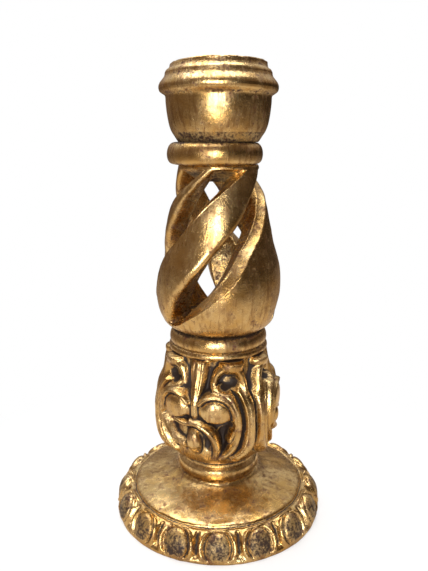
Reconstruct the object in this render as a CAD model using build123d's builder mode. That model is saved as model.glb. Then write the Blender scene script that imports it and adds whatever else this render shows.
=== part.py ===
"""Carved and gilded candlestick with an open four-strand twist, in millimetres, +Z up.

The origin is the centre of the foot's underside. The turned pieces stack along Z and are held
together by a tenon, two dowels and a screw from below.
"""
from build123d import *
from math import cos, radians, sin, sqrt
import os

# Alignment of a solid that stands on its place, and the side of the axis that faces the viewer
STANDING = (Align.CENTER, Align.CENTER, Align.MIN)
FRONT = -90.0

# Heights of the stacked pieces, from the ground up
foot_height = 29.0
foot_ring_height = 13.0
knop_height = 76.0
collar_height = 14.0
column_height = 106.7
neck_ring_height = 13.8
cup_height = 47.5

foot_ring_base = foot_height
knop_base = foot_ring_base + foot_ring_height
collar_base = knop_base + knop_height
column_base = collar_base + collar_height
neck_ring_base = column_base + column_height
cup_base = neck_ring_base + neck_ring_height
total_height = cup_base + cup_height

# Foot: gadrooned rim, plate and cavetto
foot_radius = 72.2
foot_band_height = 3.0
rim_crest_radius = 63.0
rim_crest_height = 20.5
rim_bulge_radius = 22.0
rim_groove_radius = 59.8
rim_groove_height = 17.6
plate_radius = 58.3
plate_edge_height = 19.2
plate_inner_radius = 34.0
plate_inner_height = 24.5
foot_seat_radius = 28.0
cavetto_radius = 9.0
gadroon_count = 16
gadroon_groove_radius = 3.6
gadroon_groove_rise = 0.8

# Turned rings
foot_ring_radius = 28.6
foot_ring_base_radius = 27.0
foot_ring_neck_radius = 26.0
foot_ring_bead_height = 9.0
collar_radius = 32.6
collar_lip_radius = 33.2
collar_lip_height = 3.4
collar_top_radius = 29.4
collar_groove_rise = 2.0
neck_ring_radius = 30.3
neck_ring_edge_radius = 25.6
neck_ring_offset = 2.3

# Knop core and its three carved motifs
knop_foot_radius = 26.0
knop_lip_radius = 38.5
knop_lip_rise = 10.0
knop_belly_radius = 41.5
knop_belly_rise = 24.0
knop_shoulder_radius = 33.5
knop_shoulder_rise = 56.0
knop_top_radius = 29.5
motif_count = 3
motif_turn = -23.0
boss_spread = 22.0
boss_radius = 10.5
boss_rise = 45.0
boss_stand_out = 32.0
scroll_spread = 29.0
scroll_ring_radius = 16.0
scroll_ridge_radius = 4.6
scroll_rise = 33.0
scroll_stand_out = 37.0
shell_radius = 9.0
shell_rise = 20.0
shell_stand_out = 33.0
rib_lean = 5.0
rib_radius = 6.5
rib_stand_out = 27.5
leaf_spread = 41.0
leaf_root_radius = 8.0
leaf_tip_radius = 4.5
leaf_length = 22.0
leaf_stand_out = 27.5
leaf_tilt = 13.0
pocket_spread = 24.0
pocket_radius = 6.0
pocket_rise = 60.0
pocket_stand_out = 36.0
split_radius = 4.0
split_rise = 12.0
split_height = 46.0
split_stand_out = 45.5

# Open twist: the barrel's outline as (rise above its base, radius)
barrel_foot_radius = 29.0
barrel_shoulder = (8.0, 37.6)
barrel_belly = (28.0, 41.6)
barrel_waist = (58.0, 35.9)
barrel_throat = (76.0, 32.6)
barrel_neck = (98.0, 27.0)
barrel_top_radius = 25.2
slot_reach = 46.0
barrel_outline = [
    (0.0, barrel_foot_radius),
    barrel_shoulder,
    barrel_belly,
    barrel_waist,
    barrel_throat,
    barrel_neck,
    (column_height, barrel_top_radius),
]
strand_count = 4
strand_thickness = 10.0
block_height = 10.0
slot_root_radius = 13.0
slot_base_rise = 2.5
slot_top_margin = 2.6
slot_half_angle = 14.5
slot_top_half_angle = 21.0
slot_taper_height = 36.0
slot_sections = 11
slot_turn_at_base = -64.3
slot_turn_rate = 179.3
slot_turn_easing = -133.2
slot_turn_steepening = 132.4
lower_bevel_angle = 5.0
lower_bevel_depth = 4.0
upper_bevel_angle = 10.0
upper_bevel_depth = 5.5
bevel_overrun = 1.5

# Cup, its lip and the brass liner
cup_neck_radius = 26.0
bowl_low_radius = 30.2
bowl_low_rise = 8.2
bowl_radius = 32.9
bowl_rise = 25.5
lip_undercut_radius = 33.0
lip_undercut_rise = 27.0
lip_radius = 37.1
lip_rise = 32.0
lip_top_radius = 30.6
fillet_band_radius = 29.9
fillet_band_height = 3.5
taper_radius = 11.3
liner_wall = 1.0
liner_depth = 25.0
liner_flange_radius = 27.0
liner_flange_thickness = 0.8
liner_recess_depth = 1.0

# Joints and hidden hardware
joint_play = 0.1
end_play = 0.4
knop_tenon_radius = 12.0
knop_tenon_in_foot = 14.0
dowel_radius = 8.0
lower_dowel_in_knop = 22.0
upper_dowel_in_cup = 13.5
dowel_chamfer = 1.0
felt_thickness = 2.0
felt_radius = 62.0
screw_well_radius = 12.0
screw_well_depth = 6.0
washer_radius = 9.0
washer_thickness = 1.2
screw_radius = 2.5
screw_length = 52.0
screw_head_radius = 5.0
screw_head_height = 3.0
screw_point_length = 4.0
screw_slot_width = 1.2
screw_slot_depth = 1.4
liner_screw_radius = 1.6
liner_screw_length = 11.0
liner_screw_head_radius = 3.2
liner_screw_head_height = 1.8
liner_screw_slot_width = 0.8
liner_screw_slot_depth = 0.7

# Foot: one turned disc, hollowed below for felt and screw, with flutes that part the gadroons
screw_well_top = felt_thickness + screw_well_depth
mortise_floor = foot_height - knop_tenon_in_foot - end_play
with BuildPart() as gadroon_flute:
    with BuildLine(Plane.XZ) as flute_path:
        RadiusArc(
            (foot_radius + gadroon_groove_rise, foot_band_height),
            (rim_crest_radius - gadroon_groove_radius / 2, rim_crest_height + gadroon_groove_rise),
            -rim_bulge_radius,
        )
    with BuildSketch(Plane(flute_path.line @ 0, z_dir=flute_path.line % 0)):
        Circle(gadroon_groove_radius)
    sweep(path=flute_path.line)

with BuildPart() as foot:
    with BuildSketch(Plane.XZ):
        with BuildLine():
            Polyline((0, 0), (foot_radius, 0), (foot_radius, foot_band_height))
            RadiusArc(
                (foot_radius, foot_band_height), (rim_crest_radius, rim_crest_height), -rim_bulge_radius
            )
            Polyline(
                (rim_crest_radius, rim_crest_height),
                (rim_groove_radius, rim_groove_height),
                (plate_radius, rim_groove_height),
                (plate_radius, plate_edge_height),
                (plate_inner_radius, plate_inner_height),
            )
            RadiusArc(
                (plate_inner_radius, plate_inner_height), (foot_seat_radius, foot_height), cavetto_radius
            )
            Polyline((foot_seat_radius, foot_height), (0, foot_height), (0, 0))
        make_face()
    revolve(axis=Axis.Z)
    with PolarLocations(0, gadroon_count, start_angle=180.0 / gadroon_count):
        add(gadroon_flute.part, mode=Mode.SUBTRACT)
    Cylinder(felt_radius + joint_play, felt_thickness, align=STANDING, mode=Mode.SUBTRACT)
    Cylinder(screw_well_radius, screw_well_top, align=STANDING, mode=Mode.SUBTRACT)
    Cylinder(screw_radius + joint_play, foot_height, align=STANDING, mode=Mode.SUBTRACT)
    with Locations((0, 0, mortise_floor)):
        Cylinder(knop_tenon_radius + joint_play, foot_height, align=STANDING, mode=Mode.SUBTRACT)
foot.part.label = "foot"

# Foot felt: a disc let into the underside, flush with the ground plane
with BuildPart() as foot_felt:
    Cylinder(felt_radius, felt_thickness, align=STANDING)
foot_felt.part.label = "foot_felt"

# Stem washer and stem screw: they pull the knop's tenon down into the foot
washer_base = screw_well_top - washer_thickness
with BuildPart() as stem_washer:
    with BuildSketch(Plane.XY.offset(washer_base)):
        Circle(washer_radius)
        Circle(screw_radius + joint_play, mode=Mode.SUBTRACT)
    extrude(amount=washer_thickness)
    washer_rims = stem_washer.edges().filter_by(GeomType.CIRCLE).group_by(SortBy.RADIUS)[-1]
    chamfer(washer_rims, washer_thickness / 4)
stem_washer.part.label = "stem_washer"

screw_head_base = washer_base - screw_head_height
screw_tip = washer_base + screw_length
with BuildPart() as stem_screw:
    with BuildSketch(Plane.XZ):
        with BuildLine():
            Line((0, screw_head_base), (screw_radius, screw_head_base))
            Polyline(
                (screw_radius, screw_head_base),
                (screw_head_radius, washer_base - screw_head_height / 2),
                (screw_head_radius, washer_base),
                (screw_radius, washer_base),
                (screw_radius, screw_tip - screw_point_length),
                (0, screw_tip),
                (0, screw_head_base),
            )
        make_face()
    revolve(axis=Axis.Z)
    with Locations((0, 0, screw_head_base)):
        Box(3 * screw_head_radius, screw_slot_width, screw_slot_depth, align=STANDING, mode=Mode.SUBTRACT)
stem_screw.part.label = "stem_screw"

# Foot ring: a bead under a short neck, bored for the knop's tenon
bead_top = foot_ring_base + foot_ring_bead_height
with BuildPart() as foot_ring:
    with BuildSketch(Plane.XZ):
        with BuildLine():
            Line((0, foot_ring_base), (foot_ring_base_radius, foot_ring_base))
            ThreePointArc(
                (foot_ring_base_radius, foot_ring_base),
                (foot_ring_radius, foot_ring_base + foot_ring_bead_height / 2),
                (foot_ring_neck_radius, bead_top),
            )
            Polyline(
                (foot_ring_neck_radius, bead_top),
                (foot_ring_neck_radius, knop_base),
                (0, knop_base),
                (0, foot_ring_base),
            )
        make_face()
    revolve(axis=Axis.Z)
    with Locations((0, 0, foot_ring_base)):
        Cylinder(knop_tenon_radius + joint_play, foot_ring_height, align=STANDING, mode=Mode.SUBTRACT)
foot_ring.part.label = "foot_ring"


def on_knop(spread, rise, radius):
    """A place on the knop: an angle off the motif's centre line, a rise above its base, a radius."""
    angle = radians(spread)
    return Location((radius * cos(angle), radius * sin(angle), knop_base + rise), (0, 0, spread))


# Knop motif: paired volutes in scroll ridges, a rib above, a shell below and two leaf tips
with BuildPart() as knop_motif:
    for side in (-1, 1):
        with Locations(on_knop(side * boss_spread, boss_rise, boss_stand_out)):
            Sphere(boss_radius)
        with Locations(on_knop(side * scroll_spread, scroll_rise, scroll_stand_out)):
            Torus(scroll_ring_radius, scroll_ridge_radius, rotation=(0, 90, 0))
        with Locations(on_knop(side * leaf_spread, knop_height - leaf_length, leaf_stand_out)):
            Cone(leaf_root_radius, leaf_tip_radius, leaf_length, rotation=(0, leaf_tilt, 0), align=STANDING)
    with Locations(on_knop(rib_lean, shell_rise, shell_stand_out)):
        Sphere(shell_radius)
    with Locations(on_knop(rib_lean, boss_rise, rib_stand_out)):
        Cylinder(rib_radius, knop_height - boss_rise, align=STANDING)

# Knop hollows: a pocket under each leaf tip and the split that parts two motifs
with BuildPart() as knop_hollows:
    for side in (-1, 1):
        with Locations(on_knop(side * pocket_spread, pocket_rise, pocket_stand_out)):
            Sphere(pocket_radius)
    with Locations(on_knop(180 / motif_count, split_rise, split_stand_out)):
        Cylinder(split_radius, split_height, align=STANDING)

# Knop: a turned core that carries the motifs, with a tenon below and a mortise above
motif_start = FRONT + motif_turn
knop_tenon_base = foot_ring_base - knop_tenon_in_foot
screw_hole_depth = screw_tip + end_play - knop_tenon_base
lower_dowel_base = collar_base - lower_dowel_in_knop
with BuildPart() as knop:
    with BuildSketch(Plane.XZ):
        with BuildLine():
            Line((0, knop_base), (knop_foot_radius, knop_base))
            Spline(
                (knop_foot_radius, knop_base),
                (knop_lip_radius, knop_base + knop_lip_rise),
                (knop_belly_radius, knop_base + knop_belly_rise),
                (knop_shoulder_radius, knop_base + knop_shoulder_rise),
                (knop_top_radius, collar_base),
            )
            Polyline((knop_top_radius, collar_base), (0, collar_base), (0, knop_base))
        make_face()
    revolve(axis=Axis.Z)
    with PolarLocations(0, motif_count, start_angle=motif_start):
        add(knop_motif.part)
    with PolarLocations(0, motif_count, start_angle=motif_start):
        add(knop_hollows.part, mode=Mode.SUBTRACT)
    split(bisect_by=Plane.XY.offset(collar_base), keep=Keep.BOTTOM)
    with Locations((0, 0, knop_tenon_base)):
        Cylinder(knop_tenon_radius, knop_base - knop_tenon_base, align=STANDING)
        Cylinder(screw_radius + joint_play, screw_hole_depth, align=STANDING, mode=Mode.SUBTRACT)
    with Locations((0, 0, lower_dowel_base - end_play)):
        Cylinder(dowel_radius + joint_play, collar_base, align=STANDING, mode=Mode.SUBTRACT)
knop.part.label = "knop"

# Knop collar: a thin lip under a torus, bored for the lower dowel
collar_lip_top = collar_base + collar_lip_height
collar_groove_radius = collar_top_radius + collar_groove_rise
with BuildPart() as knop_collar:
    with BuildSketch(Plane.XZ):
        with BuildLine():
            Polyline((0, collar_base), (collar_lip_radius, collar_base))
            RadiusArc(
                (collar_lip_radius, collar_base), (collar_groove_radius, collar_lip_top), -collar_lip_height
            )
            ThreePointArc(
                (collar_groove_radius, collar_lip_top),
                (collar_radius, (collar_lip_top + column_base) / 2),
                (collar_top_radius, column_base),
            )
            Polyline((collar_top_radius, column_base), (0, column_base), (0, collar_base))
        make_face()
    revolve(axis=Axis.Z)
    with Locations((0, 0, collar_base)):
        Cylinder(dowel_radius + joint_play, collar_height, align=STANDING, mode=Mode.SUBTRACT)
knop_collar.part.label = "knop_collar"

# Dowels: chamfered pegs through the rings, and the countersunk hole that the upper one shares
hollow_base = column_base + block_height
hollow_top = neck_ring_base - block_height
upper_dowel_top = cup_base + upper_dowel_in_cup
liner_floor = total_height - liner_recess_depth - liner_depth
liner_screw_tip = liner_floor - liner_screw_length
with BuildPart() as liner_screw_hole:
    with BuildSketch(Plane.XZ):
        with BuildLine():
            Polyline(
                (0, liner_floor + end_play),
                (liner_screw_head_radius + joint_play, liner_floor + end_play),
                (liner_screw_head_radius + joint_play, liner_floor),
                (liner_screw_radius + joint_play, liner_floor - liner_screw_head_height),
                (liner_screw_radius + joint_play, liner_screw_tip - end_play),
                (0, liner_screw_tip - end_play),
                close=True,
            )
        make_face()
    revolve(axis=Axis.Z)

with BuildPart() as lower_dowel:
    with Locations((0, 0, lower_dowel_base)):
        Cylinder(dowel_radius, hollow_base - lower_dowel_base, align=STANDING)
    chamfer(lower_dowel.edges().filter_by(GeomType.CIRCLE), dowel_chamfer)
lower_dowel.part.label = "lower_dowel"

with BuildPart() as upper_dowel:
    with Locations((0, 0, hollow_top)):
        Cylinder(dowel_radius, upper_dowel_top - hollow_top, align=STANDING)
    chamfer(upper_dowel.edges().filter_by(GeomType.CIRCLE), dowel_chamfer)
    add(liner_screw_hole.part, mode=Mode.SUBTRACT)
upper_dowel.part.label = "upper_dowel"


def barrel_radius_at(rise):
    """The barrel's radius between the named points of its outline."""
    for (low_rise, low_radius), (high_rise, high_radius) in zip(barrel_outline, barrel_outline[1:]):
        if rise <= high_rise:
            return low_radius + (high_radius - low_radius) * (rise - low_rise) / (high_rise - low_rise)
    return barrel_top_radius


def slot_half_angle_at(rise):
    """Half the angle of a slot: it closes to a point below and widens towards the neck."""
    if rise < slot_taper_height:
        share = 1 - max(rise - slot_base_rise, 0) / (slot_taper_height - slot_base_rise)
        return slot_half_angle * sqrt(1 - share**2)
    reach = (rise - slot_taper_height) / (column_height - slot_taper_height)
    return slot_half_angle + (slot_top_half_angle - slot_half_angle) * reach**3


def slot_turn_at(rise):
    """How far a slot's centre line has turned, in degrees: the twist steepens as it climbs."""
    share = rise / column_height
    return (
        slot_turn_at_base
        + slot_turn_rate * share
        + slot_turn_easing * share**2
        + slot_turn_steepening * share**3
    )


def slot_side_at(rise, side, bevel_angle, bevel_depth):
    """One side of a slot's section, from the hollow outwards: its wall, its bevel, then clear air."""
    half = slot_half_angle_at(rise)
    face_radius = barrel_radius_at(rise)
    lip_angle = half + bevel_angle * min(half / slot_half_angle, 1)
    root = Vector(slot_root_radius, 0).rotate(Axis.Z, side * half)
    edge = Vector(face_radius - bevel_depth, 0).rotate(Axis.Z, side * half)
    lip = Vector(face_radius, 0).rotate(Axis.Z, side * lip_angle)
    beyond = edge + (lip - edge) * bevel_overrun
    return [root, edge, beyond, Vector(slot_reach, 0).rotate(Axis.Z, side * half)]


# Slot: the twisting wedge between two strands, with a broad bevel along the upper edge of the
# strand below it and a narrow one along the lower edge of the strand above
slot_first_rise = slot_base_rise + joint_play
slot_last_rise = column_height - slot_top_margin
with BuildPart() as slot:
    for index in range(slot_sections):
        rise = slot_first_rise + (slot_last_rise - slot_first_rise) * index / (slot_sections - 1)
        left_side = slot_side_at(rise, -1, lower_bevel_angle, lower_bevel_depth)
        right_side = slot_side_at(rise, 1, upper_bevel_angle, upper_bevel_depth)
        with BuildSketch(Plane.XY.offset(column_base + rise).rotated((0, 0, FRONT + slot_turn_at(rise)))):
            with BuildLine():
                Polyline(*left_side, *right_side[::-1], close=True)
            make_face()
    loft()

# Twist column: a turned barrel, hollowed, and cut by the slots into four strands
with BuildPart() as twist_column:
    with BuildSketch(Plane.XZ):
        with BuildLine():
            Line((0, column_base), (barrel_foot_radius, column_base))
            Spline(*[(radius, column_base + rise) for rise, radius in barrel_outline])
            Polyline((barrel_top_radius, neck_ring_base), (0, neck_ring_base), (0, column_base))
        make_face()
    revolve(axis=Axis.Z)
    with BuildSketch(Plane.XZ):
        with BuildLine():
            hollow_ends = (barrel_foot_radius - strand_thickness, barrel_neck[1] - strand_thickness)
            Polyline((0, hollow_top), (0, hollow_base), (hollow_ends[0], hollow_base))
            Spline(
                (hollow_ends[0], hollow_base),
                (barrel_belly[1] - strand_thickness, column_base + barrel_belly[0]),
                (barrel_waist[1] - strand_thickness, column_base + barrel_waist[0]),
                (barrel_throat[1] - strand_thickness, column_base + barrel_throat[0]),
                (hollow_ends[1], hollow_top),
            )
            Line((hollow_ends[1], hollow_top), (0, hollow_top))
        make_face()
    revolve(axis=Axis.Z, mode=Mode.SUBTRACT)
    with PolarLocations(0, strand_count):
        add(slot.part, mode=Mode.SUBTRACT)
    with Locations((0, 0, column_base)):
        Cylinder(dowel_radius + joint_play, column_height, align=STANDING, mode=Mode.SUBTRACT)
twist_column.part.label = "twist_column"

# Neck ring: a torus carved a little off the shaft's axis, bored on the axis for the upper dowel
with BuildPart() as neck_ring:
    with BuildSketch(Plane.XZ):
        with BuildLine():
            Polyline(
                (-neck_ring_offset, cup_base),
                (-neck_ring_offset, neck_ring_base),
                (neck_ring_edge_radius - neck_ring_offset, neck_ring_base),
            )
            ThreePointArc(
                (neck_ring_edge_radius - neck_ring_offset, neck_ring_base),
                (neck_ring_radius - neck_ring_offset, (neck_ring_base + cup_base) / 2),
                (neck_ring_edge_radius - neck_ring_offset, cup_base),
            )
            Line((neck_ring_edge_radius - neck_ring_offset, cup_base), (-neck_ring_offset, cup_base))
        make_face()
    revolve(axis=Axis((-neck_ring_offset, 0, 0), (0, 0, 1)))
    with Locations((0, 0, neck_ring_base)):
        Cylinder(dowel_radius + joint_play, neck_ring_height, align=STANDING, mode=Mode.SUBTRACT)
neck_ring.part.label = "neck_ring"

# Candle cup: bowl, undercut ovolo lip and fillet, bored for the liner and for the upper dowel
fillet_band_base = total_height - fillet_band_height
liner_outer_radius = taper_radius + liner_wall
liner_top = total_height - liner_recess_depth + liner_flange_thickness
liner_base = liner_floor - liner_wall
with BuildPart() as candle_cup:
    with BuildSketch(Plane.XZ):
        with BuildLine():
            Line((0, cup_base), (cup_neck_radius, cup_base))
            Spline(
                (cup_neck_radius, cup_base),
                (bowl_low_radius, cup_base + bowl_low_rise),
                (bowl_radius, cup_base + bowl_rise),
            )
            Line((bowl_radius, cup_base + bowl_rise), (lip_undercut_radius, cup_base + lip_undercut_rise))
            Spline(
                (lip_undercut_radius, cup_base + lip_undercut_rise),
                (lip_radius, cup_base + lip_rise),
                (lip_top_radius, fillet_band_base),
            )
            Polyline(
                (lip_top_radius, fillet_band_base),
                (fillet_band_radius, fillet_band_base),
                (fillet_band_radius, total_height),
                (0, total_height),
                (0, cup_base),
            )
        make_face()
    revolve(axis=Axis.Z)
    with Locations((0, 0, total_height - liner_recess_depth)):
        Cylinder(liner_flange_radius + joint_play, cup_height, align=STANDING, mode=Mode.SUBTRACT)
    with Locations((0, 0, liner_base)):
        Cylinder(liner_outer_radius + joint_play, cup_height, align=STANDING, mode=Mode.SUBTRACT)
    with Locations((0, 0, cup_base)):
        Cylinder(dowel_radius + joint_play, upper_dowel_in_cup + end_play, align=STANDING, mode=Mode.SUBTRACT)
    add(liner_screw_hole.part, mode=Mode.SUBTRACT)
candle_cup.part.label = "candle_cup"

# Cup liner: a spun brass socket for the taper, with a flange let into the cup's top
with BuildPart() as cup_liner:
    with Locations((0, 0, liner_base)):
        Cylinder(liner_outer_radius, liner_top - liner_base, align=STANDING)
    with Locations((0, 0, liner_top - liner_flange_thickness)):
        Cylinder(liner_flange_radius, liner_flange_thickness, align=STANDING)
    with Locations((0, 0, liner_floor)):
        Cylinder(taper_radius, liner_top - liner_base, align=STANDING, mode=Mode.SUBTRACT)
    add(liner_screw_hole.part, mode=Mode.SUBTRACT)
cup_liner.part.label = "cup_liner"

# Liner screw: countersunk, with its slotted head flush with the liner's floor
with BuildPart() as liner_screw:
    with BuildSketch(Plane.XZ):
        with BuildLine():
            Polyline(
                (0, liner_floor),
                (liner_screw_head_radius, liner_floor),
                (liner_screw_radius, liner_floor - liner_screw_head_height),
                (liner_screw_radius, liner_screw_tip + 2 * liner_screw_radius),
                (0, liner_screw_tip),
                close=True,
            )
        make_face()
    revolve(axis=Axis.Z)
    with Locations((0, 0, liner_floor - liner_screw_slot_depth)):
        Box(
            3 * liner_screw_head_radius,
            liner_screw_slot_width,
            liner_screw_head_height,
            align=STANDING,
            mode=Mode.SUBTRACT,
        )
liner_screw.part.label = "liner_screw"

os.makedirs("parts", exist_ok=True)
export_step(foot.part, "parts/foot.step")
export_step(foot_felt.part, "parts/foot_felt.step")
export_step(stem_washer.part, "parts/stem_washer.step")
export_step(stem_screw.part, "parts/stem_screw.step")
export_step(foot_ring.part, "parts/foot_ring.step")
export_step(knop.part, "parts/knop.step")
export_step(knop_collar.part, "parts/knop_collar.step")
export_step(lower_dowel.part, "parts/lower_dowel.step")
export_step(twist_column.part, "parts/twist_column.step")
export_step(upper_dowel.part, "parts/upper_dowel.step")
export_step(neck_ring.part, "parts/neck_ring.step")
export_step(candle_cup.part, "parts/candle_cup.step")
export_step(cup_liner.part, "parts/cup_liner.step")
export_step(liner_screw.part, "parts/liner_screw.step")
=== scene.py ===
"""Looks of a carved and gilded candlestick with an open four-strand twist.

Lengths are in millimetres and become metres as each mesh is made. Turns are in degrees from the
front, growing to the viewer's right. Heights are above the ground.
"""

import math

import bpy
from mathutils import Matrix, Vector
import numpy as np

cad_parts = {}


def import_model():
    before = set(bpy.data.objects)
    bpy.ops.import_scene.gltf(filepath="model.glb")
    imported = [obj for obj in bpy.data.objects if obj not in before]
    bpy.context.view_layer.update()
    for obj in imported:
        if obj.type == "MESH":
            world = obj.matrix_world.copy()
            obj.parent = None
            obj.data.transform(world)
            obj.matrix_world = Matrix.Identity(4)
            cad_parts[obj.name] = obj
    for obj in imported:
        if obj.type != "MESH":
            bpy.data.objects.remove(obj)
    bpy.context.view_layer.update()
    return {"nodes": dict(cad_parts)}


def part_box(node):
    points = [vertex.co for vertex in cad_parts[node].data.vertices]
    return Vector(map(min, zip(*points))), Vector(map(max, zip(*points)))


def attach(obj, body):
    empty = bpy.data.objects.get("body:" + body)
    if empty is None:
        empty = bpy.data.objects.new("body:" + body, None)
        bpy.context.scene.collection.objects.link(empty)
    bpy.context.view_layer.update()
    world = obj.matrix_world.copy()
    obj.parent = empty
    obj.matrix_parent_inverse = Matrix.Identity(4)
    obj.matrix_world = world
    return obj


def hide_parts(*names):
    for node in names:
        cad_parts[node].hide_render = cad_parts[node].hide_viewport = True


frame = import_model()

MM = 0.001
FRONT = -90.0

# Heights where the turned pieces meet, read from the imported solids
foot_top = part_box("foot_ring")[0].z / MM
knop_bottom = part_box("foot_ring")[1].z / MM
knop_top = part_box("knop")[1].z / MM
column_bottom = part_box("twist_column")[0].z / MM
column_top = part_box("twist_column")[1].z / MM
cup_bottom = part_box("neck_ring")[1].z / MM
cup_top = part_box("candle_cup")[1].z / MM

# Bores that the hidden hardware passes through, with its play
dowel_bore = 8.1
screw_bore = 2.6
tenon_bore = 12.1
liner_bore = 12.4
liner_screw_bore = 1.7


# Curves and meshes

def smooth(points, steps=6):
    """A smooth run through the points, which may have any number of coordinates."""
    points = np.asarray(points, float)
    before = np.vstack([2 * points[0] - points[1], points, 2 * points[-1] - points[-2]])
    share = (np.arange(steps) / steps)[:, None]
    run = []
    for a, b, c, d in zip(before, before[1:], before[2:], before[3:]):
        bend = (2 * a - 5 * b + 4 * c - d) * share + (3 * b - a - 3 * c + d) * share**2
        run.append(b + 0.5 * share * (c - a + bend))
    return np.vstack(run + [points[-1:]])


def outline(*runs):
    """A closed outline from several runs, without the points that two runs share."""
    joined = [runs[0][0]]
    for run in runs:
        for point in run:
            if np.linalg.norm(np.subtract(point, joined[-1])) > 0.01:
                joined.append(point)
    if np.linalg.norm(np.subtract(joined[0], joined[-1])) < 0.01:
        joined.pop()
    return np.array(joined, float)


def straight(*points, spacing=4.0):
    """Straight runs through the points, divided into steps of about the spacing."""
    run = [np.array(points[0], float)]
    for start, end in zip(points, points[1:]):
        start, end = np.array(start, float), np.array(end, float)
        steps = max(1, round(np.linalg.norm(end - start) / spacing))
        run.extend(start + (end - start) * index / steps for index in range(1, steps + 1))
    return run


def polar(turn, radius, height):
    """Places at a turn from the front, a radius and a height."""
    angle = np.radians(np.asarray(turn, float) + FRONT)
    return np.stack(np.broadcast_arrays(radius * np.cos(angle), radius * np.sin(angle), height), axis=-1)


def ease(value, low, high):
    """From 0 at low to 1 at high, with soft ends."""
    share = np.clip((value - low) / (high - low), 0, 1)
    return share * share * (3 - 2 * share)


def quads(rows, columns):
    """Quads over a grid of rows and columns, whose last row joins the first."""
    row = np.arange(rows)[:, None]
    column = np.arange(columns - 1)[None, :]
    low = row * columns + column
    high = ((row + 1) % rows) * columns + column
    return np.stack([low, low + 1, high + 1, high], axis=-1).reshape(-1, 4)


def mesh_of(name, places, faces, wash_and_shade):
    """A mesh over a grid of places, with each point's dark wash and painted shade kept for the shader."""
    mesh = bpy.data.meshes.new(name)
    mesh.from_pydata((places.reshape(-1, 3) * MM).tolist(), [], faces)
    wash_and_shade = np.broadcast_to(wash_and_shade, places.shape[:2]).astype(np.float32)
    mesh.attributes.new("wash_and_shade", "FLOAT", "POINT").data.foreach_set("value", wash_and_shade.ravel())
    return mesh


def grid_mesh(name, places, wash_and_shade):
    """A mesh of quads over a grid of places, whose last row joins the first."""
    return mesh_of(name, places, quads(*places.shape[:2]).tolist(), wash_and_shade)


# Node trees

class Wire:
    """A node's output on which Python's arithmetic works: each operator adds its Math node."""

    def __init__(self, bench, socket):
        self.bench = bench
        self.socket = socket

    def maths(self, operation, first, second=0.0):
        return self.bench.add("ShaderNodeMath", {"operation": operation}, {0: first, 1: second})

    def __add__(self, other):
        return self.maths("ADD", self, other)

    def __radd__(self, other):
        return self.maths("ADD", other, self)

    def __sub__(self, other):
        return self.maths("SUBTRACT", self, other)

    def __rsub__(self, other):
        return self.maths("SUBTRACT", other, self)

    def __mul__(self, other):
        return self.maths("MULTIPLY", self, other)

    def __rmul__(self, other):
        return self.maths("MULTIPLY", other, self)

    def __truediv__(self, other):
        return self.maths("DIVIDE", self, other)

    def __rtruediv__(self, other):
        return self.maths("DIVIDE", other, self)

    def most(self, other):
        return self.maths("MAXIMUM", self, other)

    def rise(self, low, high):
        """From 0 at low to 1 at high, with soft ends."""
        return self.bench.add(
            "ShaderNodeMapRange",
            {"interpolation_type": "SMOOTHSTEP"},
            {"Value": self, "From Min": low, "From Max": high},
        )


class Bench:
    """A node tree under construction."""

    def __init__(self, tree):
        self.tree = tree

    def add(self, kind, settings=None, sockets=None, out=0):
        """Adds a node: its settings first, then the values or links of its sockets."""
        node = self.tree.nodes.new(kind)
        for key, value in (settings or {}).items():
            setattr(node, key, value)
        for key, value in (sockets or {}).items():
            if isinstance(value, Wire):
                self.tree.links.new(value.socket, node.inputs[key])
            else:
                node.inputs[key].default_value = value
        return Wire(self, node.outputs[out]) if node.outputs else None

    def colour(self, value):
        return value if isinstance(value, Wire) else (*value, 1.0)

    def blend(self, share, first, second):
        """A colour between the first and the second."""
        sockets = {0: share, 6: self.colour(first), 7: self.colour(second)}
        return self.add("ShaderNodeMix", {"data_type": "RGBA"}, sockets, out=2)


class Finish(Bench):
    """A material under construction."""

    def __init__(self, name):
        self.material = bpy.data.materials.new(name)
        self.material.use_nodes = True
        self.material.node_tree.nodes.clear()
        super().__init__(self.material.node_tree)
        self.place = self.add("ShaderNodeTexCoord", out="Object")
        # Each point's dark wash and painted shade, in hollows, creases and where parts meet
        self.wash_and_shade = self.add("ShaderNodeAttribute", {"attribute_name": "wash_and_shade"}, out="Fac")

    def mapped(self, size, stretch=(1, 1, 1), shift=0.0):
        """Object coordinates counted in steps of the size, longer along the axes that are stretched."""
        scale = [1 / (size * MM * share) for share in stretch]
        sockets = {"Vector": self.place, "Location": (shift, shift, shift), "Scale": scale}
        return self.add("ShaderNodeMapping", None, sockets)

    def noise(self, size, stretch=(1, 1, 1), shift=0.0, detail=3.0, roughness=0.55, warp=0.0):
        """Clouds of that size, from 0 to 1."""
        return self.add(
            "ShaderNodeTexNoise",
            None,
            {
                "Vector": self.mapped(size, stretch, shift),
                "Scale": 1.0,
                "Detail": detail,
                "Roughness": roughness,
                "Distortion": warp,
            },
        )

    def dots(self, size, stretch=(1, 1, 1), shift=0.0):
        """Distance from the nearest of a scatter of dots that far apart."""
        return self.add(
            "ShaderNodeTexVoronoi", None, {"Vector": self.mapped(size, stretch, shift), "Scale": 1.0}
        )

    def relief(self, height):
        """A normal from a height in millimetres."""
        return self.add("ShaderNodeBump", None, {"Strength": 1.0, "Distance": MM, "Height": height})

    def surface(self, **sockets):
        """The shader and the output; an underscore in a socket's name stands for a space."""
        named = {key.replace("_", " "): value for key, value in sockets.items()}
        shader = self.add("ShaderNodeBsdfPrincipled", None, named)
        self.add("ShaderNodeOutputMaterial", None, {"Surface": shader})
        return self.material


# Repeating round the axis

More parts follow.
